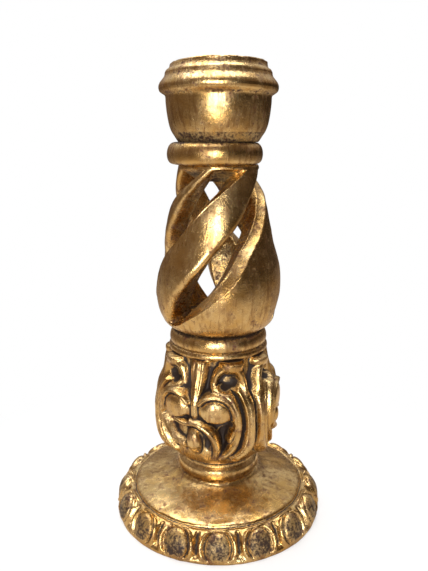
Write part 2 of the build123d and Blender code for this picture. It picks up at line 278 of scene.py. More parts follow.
def round_the_axis():
    """The tree that repeats a sector round the shaft's axis and gives it the carver's slight unevenness."""
    tree = bpy.data.node_groups.new("round_the_axis", "GeometryNodeTree")
    for label, kind, start in (
        ("Sector", "Geometry", None),
        ("Count", "Int", 16),
        ("Unevenness", "Float", 0.0),
        ("Unevenness Size", "Float", 0.02),
        ("Seed", "Float", 0.0),
        ("Finish", "Material", None),
    ):
        socket = tree.interface.new_socket(label, in_out="INPUT", socket_type="NodeSocket" + kind)
        if start is not None:
            socket.default_value = start
    tree.interface.new_socket("Piece", in_out="OUTPUT", socket_type="NodeSocketGeometry")
    bench = Bench(tree)
    entry = tree.nodes.new("NodeGroupInput")
    given = {socket.name: Wire(bench, socket) for socket in entry.outputs if socket.name}
    index = bench.add("GeometryNodeInputIndex")
    turn = bench.add("ShaderNodeCombineXYZ", None, {"Z": index * 2 * math.pi / given["Count"]})
    points = bench.add("GeometryNodePoints", None, {"Count": given["Count"]})
    sectors = bench.add("GeometryNodeInstanceOnPoints", None, {
        "Points": points, "Instance": given["Sector"], "Rotation": turn,
    })
    whole = bench.add("GeometryNodeRealizeInstances", None, {"Geometry": sectors})
    whole = bench.add("GeometryNodeMergeByDistance", None, {"Geometry": whole, "Distance": 0.01 * MM})
    place = bench.add("GeometryNodeInputPosition")
    inverse = 1 / given["Unevenness Size"]
    scaled = bench.add("ShaderNodeVectorMath", {"operation": "SCALE"}, {0: place, "Scale": inverse})
    moved = bench.add("ShaderNodeVectorMath", {"operation": "ADD"}, {0: scaled, 1: given["Seed"]})
    cloud = bench.add("ShaderNodeTexNoise", None, {
        "Vector": moved, "Scale": 1.0, "Detail": 2.0, "Roughness": 0.5,
    }, out="Color")
    centred = bench.add("ShaderNodeVectorMath", {"operation": "SUBTRACT"}, {0: cloud, 1: (0.5, 0.5, 0.5)})
    offset = bench.add(
        "ShaderNodeVectorMath", {"operation": "SCALE"}, {0: centred, "Scale": given["Unevenness"]}
    )
    whole = bench.add("GeometryNodeSetPosition", None, {"Geometry": whole, "Offset": offset})
    whole = bench.add("GeometryNodeSetShadeSmooth", None, {"Geometry": whole})
    whole = bench.add("GeometryNodeSetMaterial", None, {"Geometry": whole, "Material": given["Finish"]})
    bench.add("NodeGroupOutput", None, {"Piece": whole})
    return tree


def repeated(name, sector, finish, count, unevenness=0.0, size=20.0, seed=0.0):
    """A plain mesh object: the sector repeated round the axis by the tree."""
    piece = bpy.data.objects.new(name, sector)
    bpy.context.scene.collection.objects.link(piece)
    modifier = piece.modifiers.new("round_the_axis", "NODES")
    modifier.node_group = ROUND_THE_AXIS
    values = {
        "Count": count,
        "Unevenness": unevenness * MM,
        "Unevenness Size": size * MM,
        "Seed": seed,
        "Finish": finish,
    }
    for item in ROUND_THE_AXIS.interface.items_tree:
        if item.name in values:
            modifier[item.identifier] = values[item.name]
    return settled(piece)


def settled(piece):
    """The piece with its modifiers worked into a plain mesh."""
    seen = piece.evaluated_get(bpy.context.evaluated_depsgraph_get())
    mesh = bpy.data.meshes.new_from_object(seen)
    piece.modifiers.clear()
    piece.data = mesh
    return piece


def kept(piece, node):
    """Hands the piece to the frame in place of its solid."""
    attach(piece, "root")
    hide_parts(node)
    return piece


def places_of(piece):
    """A piece's points in millimetres."""
    flat = np.empty(len(piece.data.vertices) * 3)
    piece.data.vertices.foreach_get("co", flat)
    return flat.reshape(-1, 3) / MM


def move_points(piece, places):
    piece.data.vertices.foreach_set("co", (places * MM).astype(np.float32).ravel())
    piece.data.update()


def ripple(values, wavelength, seed, waves=5):
    """Gentle waves along a value, between about -1 and 1, the same on each run."""
    draw = np.random.default_rng(seed)
    total = np.zeros_like(values)
    for _ in range(waves):
        length = wavelength * draw.uniform(0.5, 1.8)
        total += np.sin(2 * math.pi * (values / length + draw.random())) * draw.uniform(0.4, 1.0)
    return total / (0.7 * waves)


# Turned pieces

TURNED_SECTORS = 24
TURNED_COLUMNS = 13


def turned(name, shape, finish, unevenness=0.35, size=30.0, seed=0.0, wash_and_shade=None):
    """A piece turned to a closed outline of (radius, height), which runs up its outside."""
    turns = np.linspace(0, 360 / TURNED_SECTORS, TURNED_COLUMNS)
    places = polar(turns[None, :], shape[:, 0, None], shape[:, 1, None])
    shade_and_wash_bands = np.zeros(len(shape)) if wash_and_shade is None else wash_and_shade(shape[:, 0], shape[:, 1])
    sector = grid_mesh(name + "_sector", places, shade_and_wash_bands[:, None])
    return repeated(name, sector, finish, TURNED_SECTORS, unevenness, size, seed)


def near(height, centre, width):
    """1 at the centre height, falling to 0 at the width either side."""
    return 1 - ease(np.abs(height - centre), 0, width)


def make_candle_cup(finish):
    """Bowl under an undercut ovolo lip, with an upright band at the mouth."""
    band_foot = cup_top - 3.3
    shape = outline(
        straight((dowel_bore, cup_bottom), (25.2, cup_bottom)),
        smooth([
            (25.2, cup_bottom), (26.0, 253.6), (27.7, 256.2), (29.6, 259.2), (31.1, 263.4),
            (32.2, 269.6), (32.8, 275.6), (32.95, 279.4), (33.5, 280.5),
        ], 8),
        smooth([(33.5, 280.5), (35.4, 281.7), (36.5, 282.6), (37.05, 284.0)], 5),
        smooth([
            (37.05, 284.0), (37.0, 285.8), (36.2, 287.7), (34.7, 289.6), (33.6, 291.0), (33.1, 292.4),
        ], 7),
        smooth([(33.1, 292.4), (32.9, 293.7), (32.1, 295.0), (30.9, 295.7), (30.1, band_foot + 0.3)], 5),
        smooth([(30.1, band_foot + 0.3), (29.9, 298.4), (29.8, cup_top - 0.5), (29.4, cup_top)], 4),
        straight((29.4, cup_top), (27.15, cup_top), spacing=1.0),
        straight((27.15, cup_top), (27.15, cup_top - 1), (liner_bore, cup_top - 1)),
        straight((liner_bore, cup_top - 1), (liner_bore, 273.0), (liner_screw_bore, 273.0), spacing=8.0),
        straight((liner_screw_bore, 273.0), (liner_screw_bore, 266.4), (dowel_bore, 266.4)),
        straight((dowel_bore, 266.4), (dowel_bore, cup_bottom), spacing=8.0),
    )

    def shade_and_wash_bands(radius, height):
        # Painted shade: dark bands at the bowl's foot over the neck ring, under the lip's undercut, in the
        # hollow above the lip's roll, at the band's foot and inside the mouth
        painted_shade_bands = 0.95 * near(height, cup_bottom, 7) + 0.45 * near(height, 280.6, 2.4)
        painted_shade_bands = painted_shade_bands + 0.4 * near(height, 291.0, 3.4) + 0.4 * near(height, band_foot, 1.4)
        return np.where(radius < 29.0, 0.5, painted_shade_bands)

    piece = turned("candle_cup_gilded", shape, finish, unevenness=0.8, size=34.0, seed=3.0, wash_and_shade=shade_and_wash_bands)
    places = places_of(piece)
    turn = np.degrees(np.arctan2(places[:, 1], places[:, 0]))
    at_rim = ease(places[:, 2], cup_top - 2.5, cup_top - 0.4) * (np.hypot(places[:, 0], places[:, 1]) > 26.5)
    broad_chips = np.clip(ripple(turn, 40, seed=11, waves=7), 0, 1)
    fine_chips = np.clip(ripple(turn, 9, seed=12), 0.2, 1)
    chips = broad_chips * 0.7 + fine_chips * 0.3
    worn = ease(-places[:, 0], 4, 30) * 1.1
    places[:, 2] -= at_rim * (chips + worn)
    places[:, 2] = np.minimum(places[:, 2], cup_top)
    move_points(piece, places)
    return kept(piece, "candle_cup")


def make_neck_ring(finish):
    """Torus under the cup, carved a little off the shaft's axis."""
    offset = 2.3
    shape = outline(
        straight((dowel_bore, column_top), (25.0, column_top)),
        smooth([
            (25.0, column_top), (27.9, 239.4), (29.6, 241.2), (30.3, 244.0),
            (30.2, 247.2), (29.2, 250.0), (27.4, 251.9), (25.4, cup_bottom),
        ], 8),
        straight((25.4, cup_bottom), (dowel_bore, cup_bottom)),
        straight((dowel_bore, cup_bottom), (dowel_bore, column_top), spacing=8.0),
    )

    def shade_and_wash_bands(radius, height):
        # Painted shade: dark bands where the ring meets the cup and the twist
        painted_shade_bands = 0.75 * near(height, cup_bottom, 2.6) + 0.4 * near(height, column_top, 2.0)
        return np.where(radius < 24, 0.5, painted_shade_bands)

    piece = turned("neck_ring_gilded", shape, finish, unevenness=0.7, size=24.0, seed=5.0, wash_and_shade=shade_and_wash_bands)
    places = places_of(piece)
    places[:, 0] -= offset * ease(np.hypot(places[:, 0], places[:, 1]), 12, 24)
    move_points(piece, places)
    return kept(piece, "neck_ring")


def make_knop_collar(finish):
    """Torus over a thin lip, between the knop and the twist."""
    shape = outline(
        straight((dowel_bore, knop_top), (31.8, knop_top)),
        smooth([(31.8, knop_top), (33.1, 118.9), (33.2, 120.4), (32.5, 121.8), (31.3, 122.4)], 6),
        smooth([
            (31.3, 122.4), (32.1, 123.4), (32.6, 125.4), (32.3, 127.9), (31.3, 130.2), (29.4, column_bottom),
        ], 8),
        straight((29.4, column_bottom), (dowel_bore, column_bottom)),
        straight((dowel_bore, column_bottom), (dowel_bore, knop_top), spacing=8.0),
    )

    def shade_and_wash_bands(radius, height):
        # Painted shade: dark bands in the groove over the lip, under the twist and at the knop's top
        painted_shade_bands = 0.45 * near(height, 122.4, 1.6) + 0.8 * near(height, column_bottom, 3.2)
        return np.where(radius < 28, 0.5, painted_shade_bands + 0.4 * near(height, knop_top, 1.0))

    piece = turned("knop_collar_gilded", shape, finish, unevenness=0.8, size=22.0, seed=7.0, wash_and_shade=shade_and_wash_bands)
    return kept(piece, "knop_collar")


def make_foot_ring(finish):
    """Bead under a short neck, between the foot and the knop."""
    shape = outline(
        straight((tenon_bore, foot_top), (26.6, foot_top)),
        smooth([(26.6, foot_top), (27.3, 30.0), (28.3, 31.6), (28.65, 34.2), (28.2, 36.8), (26.9, 38.6)], 7),
        smooth([(26.9, 38.6), (26.0, 39.6), (25.9, 41.0), (26.0, knop_bottom)], 5),
        straight((26.0, knop_bottom), (tenon_bore, knop_bottom)),
        straight((tenon_bore, knop_bottom), (tenon_bore, foot_top), spacing=8.0),
    )

    def shade_and_wash_bands(radius, height):
        # Painted shade: dark bands where the ring meets the foot and under the knop
        painted_shade_bands = 0.35 * near(height, foot_top, 1.4) + 0.75 * near(height, knop_bottom, 3.0)
        return np.where(radius < 25, 0.5, painted_shade_bands)

    piece = turned("foot_ring_gilded", shape, finish, unevenness=0.6, size=22.0, seed=9.0, wash_and_shade=shade_and_wash_bands)
    return kept(piece, "foot_ring")


# Foot: a plate in a rim of sixteen gadroons

GADROONS = 16
FOOT_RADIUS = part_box("foot")[1].x / MM


def make_foot(finish):
    """One sector of the rim holds an egg in a raised border, with half a groove at either side."""
    width = 2 * math.pi * 68 / GADROONS
    columns = 45
    across = np.linspace(-0.5, 0.5, columns)
    rim = smooth([
        (71.6, 0.0), (71.9, 1.6), (71.0, 4.6), (69.6, 8.6), (67.9, 12.2), (66.0, 14.6),
        (64.0, 16.0), (62.4, 16.7), (61.1, 16.9), (60.2, 16.8), (59.5, 16.6),
    ], 7)
    rest = outline(
        smooth([(59.5, 16.6), (58.9, 17.0), (58.3, 18.2), (57.2, 18.9)], 4),
        smooth([
            (57.2, 18.9), (50.0, 20.8), (42.0, 22.5), (36.0, 23.9),
            (32.0, 25.4), (29.3, 27.2), (28.0, foot_top),
        ], 5),
        straight((28.0, foot_top), (tenon_bore, foot_top)),
        straight((tenon_bore, foot_top), (tenon_bore, 14.6), (screw_bore, 14.6), spacing=8.0),
        straight((screw_bore, 14.6), (screw_bore, 8.0), (12.0, 8.0), spacing=8.0),
        straight((12.0, 8.0), (12.0, 2.0), (62.1, 2.0), (62.1, 0.0), (71.6, 0.0), spacing=8.0),
    )
    shape = outline(rim, rest)
    run = np.concatenate([[0], np.cumsum(np.linalg.norm(np.diff(rim, axis=0), axis=1))])
    along = np.zeros(len(shape))
    along[: len(rim)] = run
    on_rim = np.arange(len(shape)) < len(rim)
    tangent = np.gradient(shape[: len(rim)], axis=0)
    normal = np.zeros_like(shape)
    normal[: len(rim)] = np.stack([tangent[:, 1], -tangent[:, 0]], axis=1)
    normal[: len(rim)] /= np.linalg.norm(normal[: len(rim)], axis=1)[:, None]

    side = np.abs(across[None, :]) * width
    up = along[:, None]
    total = run[-1]
    egg_centre, egg_reach = 0.47 * total, 0.385 * total
    span = np.clip(1 - ((up - egg_centre) / egg_reach) ** 2, 0, 1)
    narrowing = np.sqrt(np.clip(1 - ((up - egg_centre + 1.0) / (egg_reach * 1.12)) ** 2, 0, 1))
    egg_half = 8.3 * np.maximum(narrowing, 1e-6)
    egg = np.sqrt(np.clip(1 - (side / egg_half) ** 2, 0, 1)) * span**0.4
    border_half = egg_half + 2.3
    border = near(side, border_half, 2.5) * ease(span, 0.0, 0.25)
    arch = near(up, egg_centre + egg_reach + 1.0, 1.8) * (side < 8.5) * (1 - ease(side, 5.0, 8.5))
    groove = near(side, width / 2, 2.2) * ease(up, 3.0, 6.0) * (1 - ease(up, total - 5.5, total - 2.5))
    notch = near(side, egg_half + 0.1, 1.1) * ease(span, 0.0, 0.2)
    lift = 3.0 * egg + 2.0 * border + 0.9 * arch * (1 - border) - 2.2 * groove - 1.0 * notch
    lift = lift * on_rim[:, None]
    places_radius = shape[:, 0, None] + normal[:, 0, None] * (lift - 0.9 * on_rim[:, None] * ease(up, 1.5, 5))
    places_height = shape[:, 1, None] + normal[:, 1, None] * lift
    turns = across * 360 / GADROONS
    places = polar(turns[None, :], places_radius, np.maximum(places_height, 0.0))
    # The smears over the eggs are dark wash; the rest is painted shade: in the grooves between eggs, round
    # the eggs' edges, in the gutter, on the plate's step and on the plate round the foot ring
    gutter_shade = near(up, total - 0.2, 1.6) * on_rim[:, None]
    flat = ~on_rim & (shape[:, 0] < 59.5) & (shape[:, 1] > 17)
    smeared = 0.60 * ease(egg, 0.1, 0.7) * (1 - 0.4 * ease(up, egg_centre, egg_centre + egg_reach))
    wash_and_shade = np.clip(0.85 * groove + 0.8 * notch + smeared, 0, 1) + 0.1 * gutter_shade
    shade_under_ring = 0.4 * near(shape[:, 1], foot_top, 1.6)[:, None] * flat[:, None]
    wash_and_shade = np.where(on_rim[:, None], wash_and_shade, 0.0) + shade_under_ring
    wash_and_shade = np.where((~on_rim & ~flat)[:, None], 0.7, wash_and_shade)
    sector = grid_mesh("foot_sector", places, np.clip(wash_and_shade, 0, 1))
    piece = repeated("foot_gilded", sector, finish, GADROONS, unevenness=1.9, size=17.0, seed=21.0)
    places = places_of(piece)
    radius = np.hypot(places[:, 0], places[:, 1])
    places[:, 2] = np.clip(places[:, 2], 0, foot_top)
    too_wide = np.maximum(radius / FOOT_RADIUS, 1)
    places[:, :2] /= too_wide[:, None]
    move_points(piece, places)
    return kept(piece, "foot")


# Knop: three carved motifs, each a rib between two volutes, over a shell

MOTIFS = 3
MOTIF_TURN = -23.0
CARVED_RADIUS = 42.0
SPLIT_AT = 180.0 / MOTIFS


def along_stroke(points, across, height):
    """Distance from a stroke through (turn, height, radius) points, and the stroke's radius there."""
    run = smooth(points, 5)
    run[:, 0] = np.radians(run[:, 0]) * CARVED_RADIUS
    best = np.full(across.shape, 1e9)
    radius = np.zeros(across.shape)
    for start, end in zip(run, run[1:]):
        step = end[:2] - start[:2]
        share = ((across - start[0]) * step[0] + (height - start[1]) * step[1]) / (step @ step)
        share = np.clip(share, 0, 1)
        gap = np.hypot(across - start[0] - share * step[0], height - start[1] - share * step[1])
        closer = gap < best
        best = np.where(closer, gap, best)
        radius = np.where(closer, start[2] + share * (end[2] - start[2]), radius)
    return best, radius


def joined_over(low, high, softness=0.5):
    """The further out of two surfaces, blended where they meet."""
    gap = np.clip((high - low) / softness, -30, 30)
    return low + softness * np.log1p(np.exp(gap))


def cut_into(surface, cutter, softness=0.4):
    """The further in of two surfaces, blended where they meet."""
    return -joined_over(-surface, -cutter, softness)


def carve_knop(across, height):
    """The knop's radius over one motif; across is the arc from its centre line, to the right.

    The volutes, the rib and the leaves are the same either side. Under them a band swings down to
    the right of the shell, and another climbs away to its left.
    """
    side = np.abs(across)
    left = -across

    def ridge(surface, points, half_width, drop, softness=0.35, over=side):
        gap, radius = along_stroke(points, over, height)
        return joined_over(surface, radius - drop * (gap / half_width) ** 2, softness)

    def groove(surface, points, half_width, rise, softness=0.3, over=side):
        gap, radius = along_stroke(points, over, height)
        return cut_into(surface, radius + rise * (gap / half_width) ** 2, softness)

    def reach(over, turn, centre, wide, tall):
        return ((over - np.radians(turn) * CARVED_RADIUS) / wide) ** 2 + ((height - centre) / tall) ** 2

    def dome(surface, place, size, radius, drop, power=1.5, over=side):
        return joined_over(surface, radius - drop * reach(over, *place, *size) ** power, 0.3)

    def dish(surface, place, size, radius, rise, power=1.5, over=side):
        return cut_into(surface, radius + rise * reach(over, *place, *size) ** power, 0.3)

    ground = smooth([
        (25.6, 42.0), (31.5, 45.5), (34.6, 50.0), (36.2, 58.0), (36.8, 68.0), (36.2, 78.0),
        (35.0, 87.0), (33.0, 94.0), (31.2, 100.0), (30.0, 107.0), (29.4, 118.0),
    ], 8)
    surface = np.interp(height, ground[:, 1], ground[:, 0])

    # Outer leaf sheet, and the band that curls inside it
    surface = ridge(surface, [
        (42, 105, 34.5), (48, 98, 38.4), (53, 90, 41.8), (55, 80, 43.8), (55, 69, 44.2), (51, 59, 43.0),
        (43, 53.5, 40.4),
    ], 4.0, 3.0, 0.6)
    surface = ridge(surface, [
        (34, 103.5, 36.0), (42, 99, 39.2), (47.5, 91, 42.2), (49.5, 80, 43.9), (49, 68, 43.9), (45, 59, 42.2),
        (37, 53.8, 39.2),
    ], 2.3, 2.6)
    surface = groove(surface, [
        (30, 101.5, 34.6), (38, 97.5, 35.6), (43.6, 89.5, 36.8), (45.6, 79, 37.4), (44.6, 67.5, 37.2),
        (40.5, 59.5, 36.6), (33, 54.5, 35.6),
    ], 1.8, 2.4)
    # Dark pocket under the volute's eye
    surface = dish(surface, (29.0, 66.5), (5.4, 11.0), 32.6, 3.4, 2.0)
    # Volute: band, eye and the bright rim round it
    surface = ridge(surface, [
        (20, 99.0, 38.4), (29, 97.6, 40.4), (36.5, 92.5, 42.4), (40.8, 84, 43.6), (41.4, 74, 43.8),
        (39, 64.5, 42.8), (33.5, 57.5, 41.2), (26, 53.5, 38.8),
    ], 2.7, 3.0)
    surface = dome(surface, (21.0, 86.0), (11.6, 9.4), 43.2, 3.2, 1.8)
    surface = groove(surface, [
        (8, 90.0, 39.8), (13, 93.2, 40.2), (20, 94.3, 40.4), (27, 93.0, 40.6), (32.4, 88.8, 40.8),
        (34.6, 83, 40.6), (34, 76, 38.6),
    ], 0.8, 2.4, 0.2)
    surface = ridge(surface, [
        (6, 91.2, 42.6), (12, 95.2, 42.8), (20, 96.6, 42.8), (28, 95.2, 43.2), (34, 91.0, 43.8),
        (37.2, 85.5, 44.2), (38, 79, 44.0), (36.5, 72, 43.0), (33.5, 66, 41.4),
    ], 1.5, 2.2, 0.25)
    surface = groove(surface, [
        (7, 80.2, 37.6), (13, 76.8, 35.6), (20, 75.2, 34.2), (27, 75.4, 33.6), (32, 77.2, 35.0),
    ], 2.2, 2.2)
    # To the right of the shell a band swings down between two pockets
    surface = dish(surface, (12.0, 61.5), (3.4, 6.4), 35.0, 3.2, 1.6, over=across)
    surface = ridge(surface, [
        (-4, 77.5, 42.0), (4, 77.0, 42.6), (11, 74.6, 43.0), (17.5, 70, 43.2), (21, 64, 42.6), (22, 58, 41.0),
        (20.5, 52.5, 38.6),
    ], 2.4, 2.6, over=across)
    # To the left one climbs under the eye, over two leaves that sweep in from the side
    surface = ridge(surface, [
        (0, 77.3, 42.0), (8, 76.4, 42.4), (17, 77.2, 42.6), (26, 79.4, 42.8), (34, 83, 42.4),
    ], 1.9, 2.4, over=left)
    surface = ridge(surface, [
        (38, 75, 42.8), (32, 68.5, 42.8), (22, 63.5, 42.2), (11, 61.0, 40.6),
    ], 3.0, 2.6, over=left)
    surface = groove(surface, [
        (40, 70, 38.6), (33, 62.5, 38.2), (22, 58.2, 37.6), (9, 56.2, 36.4),
    ], 1.2, 2.2, over=left)
    # Shell
    surface = dome(surface, (0.0, 65.0), (5.6, 8.2), 43.2, 3.6, 1.4, over=across)
    surface = groove(surface, [
        (5.6, 71, 39.0), (8.2, 66, 37.4), (8.0, 60.5, 36.6), (5.8, 55, 36.0),
    ], 1.2, 2.4)
    # Rib that widens upwards, with a shallow flute either side
    rib_half = 2.6 + 4.8 * ease(height, 84, 117)
    rib_radius = np.interp(
        height, [68, 76, 83, 90, 98, 106, 114, 118], [28, 37, 41.4, 41.0, 38.2, 35.6, 34.0, 33.0]
    )
    surface = joined_over(surface, rib_radius - 2.6 * (side / rib_half) ** 3, 0.6)
    surface = groove(surface, [
        (3.6, 119, 32.2), (3.4, 108, 34.6), (2.4, 99, 37.2), (1.4, 92, 40.4),
    ], 1.5, 1.2, 0.5)
    surface = groove(surface, [(16, 119, 29.0), (15, 110, 29.8), (13, 103, 31.4)], 2.8, 2.2, 0.6)
    # Leaf whose tip curls out over a hollow
    surface = dish(surface, (33.0, 104.8), (7.4, 4.6), 30.6, 2.6, 1.6)
    surface = ridge(surface, [
        (17.5, 98.5, 35.6), (19, 104.5, 34.4), (23, 109.5, 34.4), (30, 112.6, 35.2), (38, 113.0, 36.4),
        (45, 110.5, 37.0), (49.5, 104.5, 37.6), (51, 97, 39.2),
    ], 2.9, 2.4, 0.5)
    surface = dome(surface, (39.0, 114.4), (8.4, 4.8), 37.4, 2.8)
    # Split between two motifs
    gap = SPLIT_AT * math.pi / 180 * CARVED_RADIUS - side
    floor_radius = np.interp(
        height, [42, 48, 56, 70, 90, 104, 112, 118], [25, 33, 36, 37, 35, 30.5, 29.6, 30.5]
    )
    surface = cut_into(surface, floor_radius + 3.2 * (gap / 1.6) ** 2, 0.4)
    # The turned ends stay plain
    low_end = ease(height, 42.0, 45.5)
    high_end = ease(height, 115.5, 118.0)
    plain = np.interp(height, ground[:, 1], ground[:, 0])
    plain_top = np.interp(height, [110, 118], [29.5, 30.4])
    surface = plain + (surface - plain) * low_end
    return plain_top * high_end + surface * (1 - high_end)


def blurred(values, passes):
    """The values smoothed over their neighbours, a few passes over."""
    for _ in range(passes):
        padded = np.pad(values, 1, mode="edge")
        over_and_under = padded[:-2, 1:-1] + padded[2:, 1:-1]
        values = (over_and_under + padded[1:-1, :-2] + padded[1:-1, 2:] + 2 * padded[1:-1, 1:-1]) / 6
    return values


def make_knop(finish):
    """The carved surface over a closed core with a tenon below and a mortise above."""
    tenon_foot, mortise_floor, tenon_radius = 15.0, 95.6, 12.0
    rows, columns = 168, 177
    heights = np.linspace(knop_bottom, knop_top, rows)
    turns = np.linspace(-SPLIT_AT, SPLIT_AT, columns)
    across = np.broadcast_to(np.radians(turns)[None, :] * CARVED_RADIUS, (rows, columns))
    height = np.broadcast_to(heights[:, None], (rows, columns))
    radius = carve_knop(across, height)
    radius[:, [0, -1]] = radius[:, [0, -1]].mean(axis=1, keepdims=True)
    # Painted shade with dark wash: darker where the carving lies below its blurred surface, in narrow and in
    # broad hollows
    shade_in_narrow_hollows = np.clip((blurred(radius, 14) - radius) / 0.9, 0, 1)
    shade_in_broad_hollows = np.clip((blurred(radius, 110) - radius) / 2.4, 0, 1)
    wash_and_shade = np.clip(0.8 * shade_in_narrow_hollows + 0.95 * shade_in_broad_hollows, 0, 1)
    below = outline(
        straight((screw_bore, mortise_floor), (screw_bore, tenon_foot), spacing=20.0),
        straight(
            (screw_bore, tenon_foot), (tenon_radius, tenon_foot), (tenon_radius, knop_bottom), spacing=12.0
        ),
        straight((tenon_radius, knop_bottom), (20.0, knop_bottom)),
    )
    above = outline(
        straight((20.0, knop_top), (dowel_bore, knop_top)),
        straight((dowel_bore, knop_top), (dowel_bore, mortise_floor), spacing=12.0),
    )
    core_radius = np.concatenate([below[:, 0], above[:, 0]])
    core_height = np.concatenate([below[:, 1], above[:, 1]])
    core = polar(turns[None, :] + MOTIF_TURN, core_radius[:, None], core_height[:, None])
    carved = polar(turns[None, :] + MOTIF_TURN, radius, height)
    places = np.concatenate([core[: len(below)], carved, core[len(below):]])
    hidden = np.full((1, columns), 0.6)
    wash_and_shade = np.concatenate([hidden.repeat(len(below), 0), wash_and_shade, hidden.repeat(len(above), 0)])
    sector = grid_mesh("knop_sector", places, wash_and_shade)
    piece = repeated("knop_gilded", sector, finish, MOTIFS, unevenness=1.3, size=14.0, seed=31.0)
    return kept(piece, "knop")


# Open twist: four strands between two blocks

STRANDS = 4

# By height: the column's radius, then the first slot's turn and half its width, in degrees
BARREL = smooth([
    (29.0, 132.0), (34.6, 135.6), (37.8, 140.4), (40.2, 148.0), (41.6, 160.0), (40.6, 173.0), (38.2, 182.0),
    (35.9, 190.0), (33.9, 199.5), (32.0, 209.5), (29.6, 220.0), (27.2, 229.5), (25.3, 238.7),
], 8)
SLOT_TURN = smooth([
    (-65.0, 130.0), (-49.5, 141.0), (-36.0, 151.6), (-19.0, 164.0), (-7.5, 173.0), (9.8, 186.2),
    (28.0, 197.0), (43.5, 207.0), (57.5, 216.0), (80.0, 226.0), (104.0, 235.0), (116.0, 240.0),
], 8)
SLOT_HALF = smooth([
    (0.3, 130.0), (0.3, 137.2), (4.5, 138.8), (7.6, 141.4), (10.6, 149.0), (13.2, 157.0), (15.0, 166.0),
    (15.0, 176.0), (14.2, 188.0), (14.4, 204.0), (16.4, 216.0), (19.6, 227.0), (21.6, 234.2), (20.0, 235.8),
    (3.0, 236.6), (0.3, 237.2), (0.3, 240.0),
], 6)

# By turn from the first slot: how far the strands are moved on, and how much further low down
SLOT_SHIFT = smooth([
    (0.0, 0.0), (18.0, 0.0), (45.0, 19.0), (72.0, 38.0), (108.0, 38.0), (135.0, 35.0), (162.0, 32.0),
    (198.0, 32.0), (225.0, 16.0), (252.0, 0.0), (306.0, 0.0), (360.0, 0.0),
], 6)
LOW_SHIFT = smooth([
    (0.0, 0.0), (110.0, 0.0), (140.0, 12.0), (165.0, 20.0), (200.0, 20.0), (240.0, 20.0), (290.0, 20.0),
    (325.0, 6.0), (342.0, 0.0), (360.0, 0.0),
], 6)
BEVEL_DEPTH = 5.0
ROLL_DEPTH = 4.6


def at_height(run, height):
    return np.interp(height, run[:, 1], run[:, 0])


def strand_section(height):
    """Turns, radii and painted shade round one strand: bevel, outer face, rolled edge, wall, inside, wall."""
    face = at_height(BARREL, height)
    slot_half = max(at_height(SLOT_HALF, height), 0.3)
    opening = ease(slot_half, 0.3, 11.0)
    left = at_height(SLOT_TURN, height) + slot_half
    right = at_height(SLOT_TURN, height) + 360 / STRANDS - slot_half
    bevel = opening * np.interp(height, [138, 150, 190, 204, 216, 236], [6.0, 8.5, 8.0, 6.5, 5.5, 5.0])
    roll = opening * 10.0
    bevel_depth = 0.4 + (BEVEL_DEPTH - 0.4) * opening
    roll_depth = 0.4 + (ROLL_DEPTH - 0.4) * opening
    wall = min(np.interp(height, [155, 185], [17.0, 13.0]), face - 13.5)
    # Each third row is painted shade with dark wash: none on the outer face, some on the bevel and rolled
    # edge, most on the walls and the inside of the twist
    share = np.linspace(0, 1, 10)
    edge = np.stack([left + bevel * share, face - bevel_depth * (1 - share**1.7), 0.25 * (1 - share)])
    share = np.concatenate([[0.012, 0.03, 0.06], np.linspace(0.1, 1, 19)])
    crown = 0.35 * np.sin(np.pi * share) ** 0.8
    front = np.stack([
        left + bevel + (right - roll - left - bevel) * share, face - 0.25 + crown, 0.0 * share,
    ])
    share = np.linspace(0, 1, 11)[1:]
    rolled = np.stack([
        right - roll * (1 - np.sin(share * np.pi / 2)),
        face - roll_depth * (1 - np.cos(share * np.pi / 2)) - 0.25,
        0.25 * share**2,
    ])
    share = np.linspace(0, 1, 8)[1:]
    start = face - roll_depth - 0.25
    right_wall = np.stack([right + 0 * share, start + (face - wall - start) * share, 0.22 + 0.12 * share])
    share = np.linspace(0, 1, 17)[1:]
    inside = np.stack([right + (left - right) * share, face - wall + 0 * share, 0.34 - 0.02 * share])
    share = np.linspace(0, 1, 9)[1:-1]
    start = face - wall
    left_wall = np.stack([
        left + 0 * share, start + (face - bevel_depth - start) * share, 0.32 - 0.12 * share,
    ])
    return np.concatenate([edge, front, rolled, right_wall, inside, left_wall], axis=1)


def make_strand():
    """One strand as a closed mesh: rings of sections with a cap at each end."""
    heights = np.concatenate([
        np.linspace(132.6, 142.0, 26), np.linspace(142.6, 232.0, 168), np.linspace(232.4, 238.1, 20),
    ])
    sections = np.array([strand_section(height) for height in heights])
    places = polar(sections[:, 0], sections[:, 1], heights[:, None])
    rows, columns = places.shape[:2]
    low = np.arange(rows - 1)[:, None] * columns
    high = low + columns
    column = np.arange(columns)[None, :]
    after = (column + 1) % columns
    faces = np.stack([low + column, low + after, high + after, high + column], -1).reshape(-1, 4).tolist()
    faces.append(list(range(columns))[::-1])
    faces.append([(rows - 1) * columns + index for index in range(columns)])
    return mesh_of("strand_sector", places, faces, sections[:, 2])


def slots_moved(places):
    """The strands with their slots moved round the axis from the solid's even places: the first stays."""
    radius = np.hypot(places[:, 0], places[:, 1])
    turn = np.degrees(np.arctan2(places[:, 0], -places[:, 1]))
    first_slot = at_height(SLOT_TURN, places[:, 2])
    lag = (turn - first_slot) % 360
    low_down = 1 - ease(places[:, 2], 150, 185)
    shift = np.interp(lag, SLOT_SHIFT[:, 0], SLOT_SHIFT[:, 1])
    shift += low_down * np.interp(lag, LOW_SHIFT[:, 0], LOW_SHIFT[:, 1])
    return polar(first_slot + lag + shift, radius, places[:, 2])


def joined(piece, *others):
    """The piece united with the others into one closed skin."""
    for other in others:
        modifier = piece.modifiers.new("union", "BOOLEAN")
        modifier.operation = "UNION"
        modifier.solver = "MANIFOLD"
        modifier.object = other
    settled(piece)
    for other in others:
        bpy.data.objects.remove(other)
    return piece


